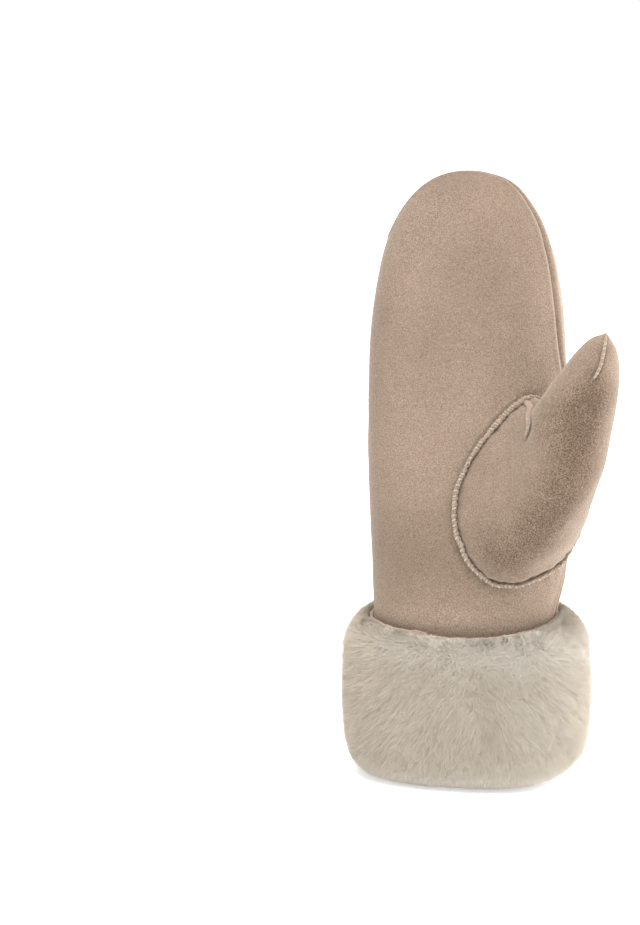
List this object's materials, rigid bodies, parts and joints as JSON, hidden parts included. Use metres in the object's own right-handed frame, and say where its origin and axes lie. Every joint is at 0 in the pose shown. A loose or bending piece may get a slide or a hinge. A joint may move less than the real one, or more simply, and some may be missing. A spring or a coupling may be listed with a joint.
{
  "type": "suede mitten",
  "caption": "Long suede mitten with a rounded tip, a set-in thumb with whip-stitched seams, and a deep turned-up fur cuff.",
  "frame": {"origin": "middle of the bounding box, at the level of the cuff's flat foot", "axes": "+Z from the cuff to the fingertip, -Y out of the palm, +X towards the thumb"},
  "size_m": [0.145, 0.1002, 0.3097],
  "materials": {
    "suede": "short pinkish-beige nap, no shine",
    "stitched_seam": "raw folded edge under cream whip stitches",
    "raw_edge": "cut suede edge, matt",
    "fur": "dense soft off-white fur, combed down and out",
    "disc": "satin, plain"
  },
  "bodies": {
    "root": {"hand_shell": "suede", "thumb_shell": "suede", "thumb_base_seam": "stitched_seam", "thumb_side_seam": "stitched_seam", "thumb_dart_seam": "stitched_seam", "cuff_band": "raw_edge", "fur_cuff": "fur", "cuff_disc": "disc"}
  },
  "joints": []
}
